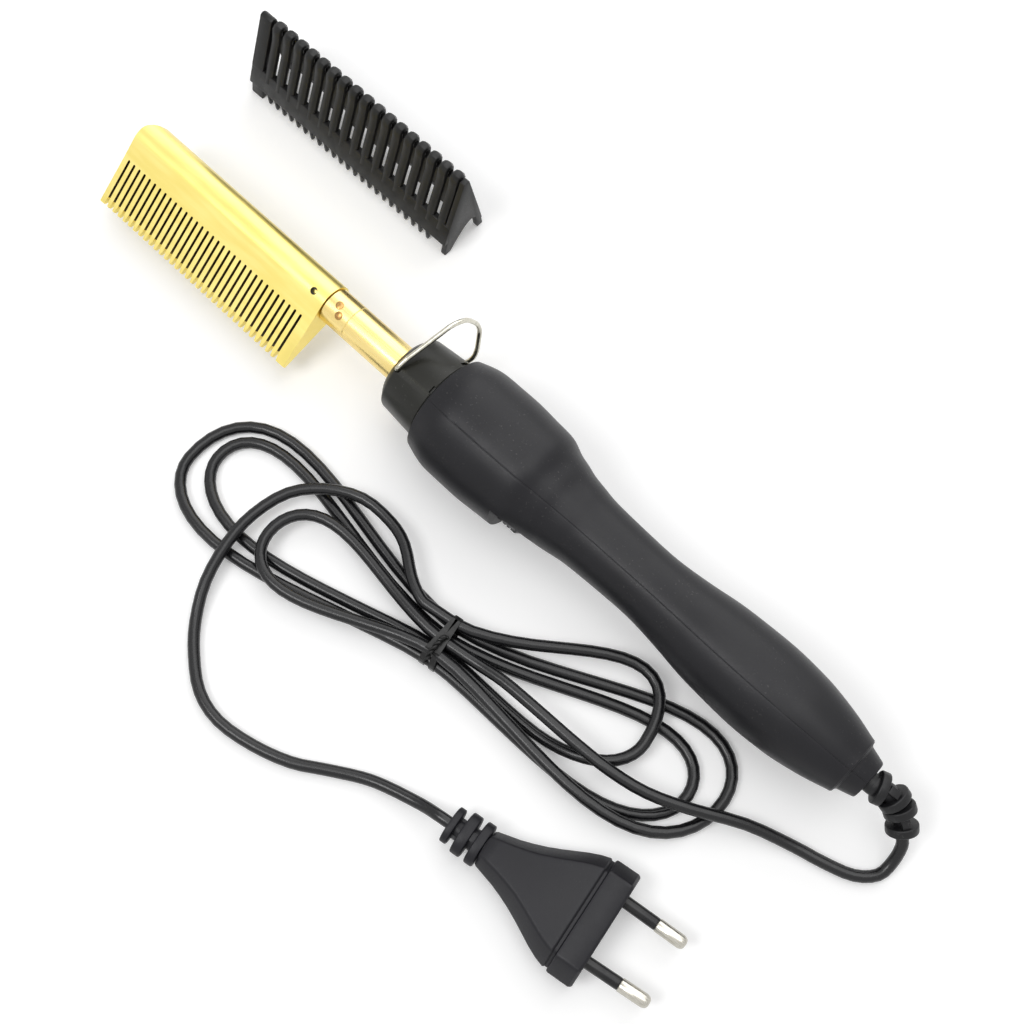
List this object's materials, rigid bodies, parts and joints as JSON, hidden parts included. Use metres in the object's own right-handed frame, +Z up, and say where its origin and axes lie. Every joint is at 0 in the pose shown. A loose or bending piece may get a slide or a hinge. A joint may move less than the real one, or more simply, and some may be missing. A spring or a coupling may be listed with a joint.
{
  "type": "hot comb",
  "caption": "Electric hot comb with a toothed gold-toned head on a brass tube, black waisted handle, folding wire stand, slide switch, clip-on guard comb and a tied mains lead with plug.",
  "frame": {"origin": "On the surface the comb lies on, at the bottom centre of the comb and its guard comb, without the lead, hank and plug.", "axes": "+X runs along the comb from the toothed head to the lead, +Y points away from the teeth toward the guard comb, +Z is up."},
  "size_m": [0.3096, 0.168, 0.0361],
  "materials": {
    "gold_head": "bright gold-toned metal, fine lengthwise brush",
    "gold_tube": "polished tube with heat-toned lengthwise streaks",
    "black_shell": "black moulded plastic, satin",
    "black_collar": "black heat-proof plastic, matt",
    "wire_steel": "bright drawn steel wire",
    "screw_steel": "dark steel",
    "sheath_steel": "drawn steel tube",
    "core_ceramic": "fired ceramic",
    "lead_sleeve": "woven glass sleeving",
    "fuse_body": "dark ceramic",
    "bush_mica": "heat-proof bush",
    "switch_plastic": "black, ribbed",
    "switch_case": "black switch case",
    "lens_red": "clear red",
    "board_green": "glass-filled board",
    "parts_dark": "moulded component",
    "wire_brown": "insulated wire",
    "crimp_white": "nylon sleeve",
    "cord_black": "round black mains cord, slight gloss",
    "tie_black": "flat black tie",
    "plug_black": "moulded black plug",
    "pin_nickel": "nickel-plated brass",
    "sleeve_black": "pin insulation",
    "guard_black": "black moulded plastic"
  },
  "bodies": {
    "comb": {"comb_head": "gold_head", "grub_screw": "screw_steel", "heater_sheath": "sheath_steel", "heater_core": "core_ceramic", "heater_leads": "lead_sleeve", "thermal_fuse": "fuse_body", "shank_tube": "gold_tube", "shank_rivets": "gold_tube", "heat_bush": "bush_mica", "nose_collar": "black_collar", "handle_shell_spine": "black_shell", "handle_shell_teeth": "black_shell", "handle_screws": "screw_steel", "switch_body": "switch_case", "indicator_lens": "lens_red", "indicator_led": "lens_red", "circuit_board": "board_green", "board_parts": "parts_dark", "inner_leads": "wire_brown", "crimp_sleeves": "crimp_white", "cord_stub": "cord_black", "cord_clamp": "switch_case", "clamp_screws": "screw_steel", "strain_relief": "cord_black", "cord_lead": "cord_black", "cord_hank": "cord_black", "cord_tie": "tie_black", "cord_tail": "cord_black", "plug_body": "plug_black", "plug_pin_left": "pin_nickel", "plug_pin_right": "pin_nickel", "pin_sleeves": "sleeve_black"},
    "stand": {"stand_wire": "wire_steel"},
    "slider": {"switch_slider": "switch_plastic"},
    "guard": {"comb_attachment": "guard_black"}
  },
  "joints": [
    {"name": "stand_fold", "type": "hinge", "parent": "comb", "child": "stand", "pos_m": [-0.02675, -0.01809, 0.01804], "axis": [0, -0.4067, 0.9135], "range_deg": [0, 84]},
    {"name": "switch_slide", "type": "slide", "parent": "comb", "child": "slider", "axis": [1, 0, 0], "range_m": [0, 0.008]},
    {"name": "guard_lift", "type": "slide", "parent": "comb", "child": "guard", "axis": [0, 0, 1], "range_m": [0, 0.05]}
  ]
}
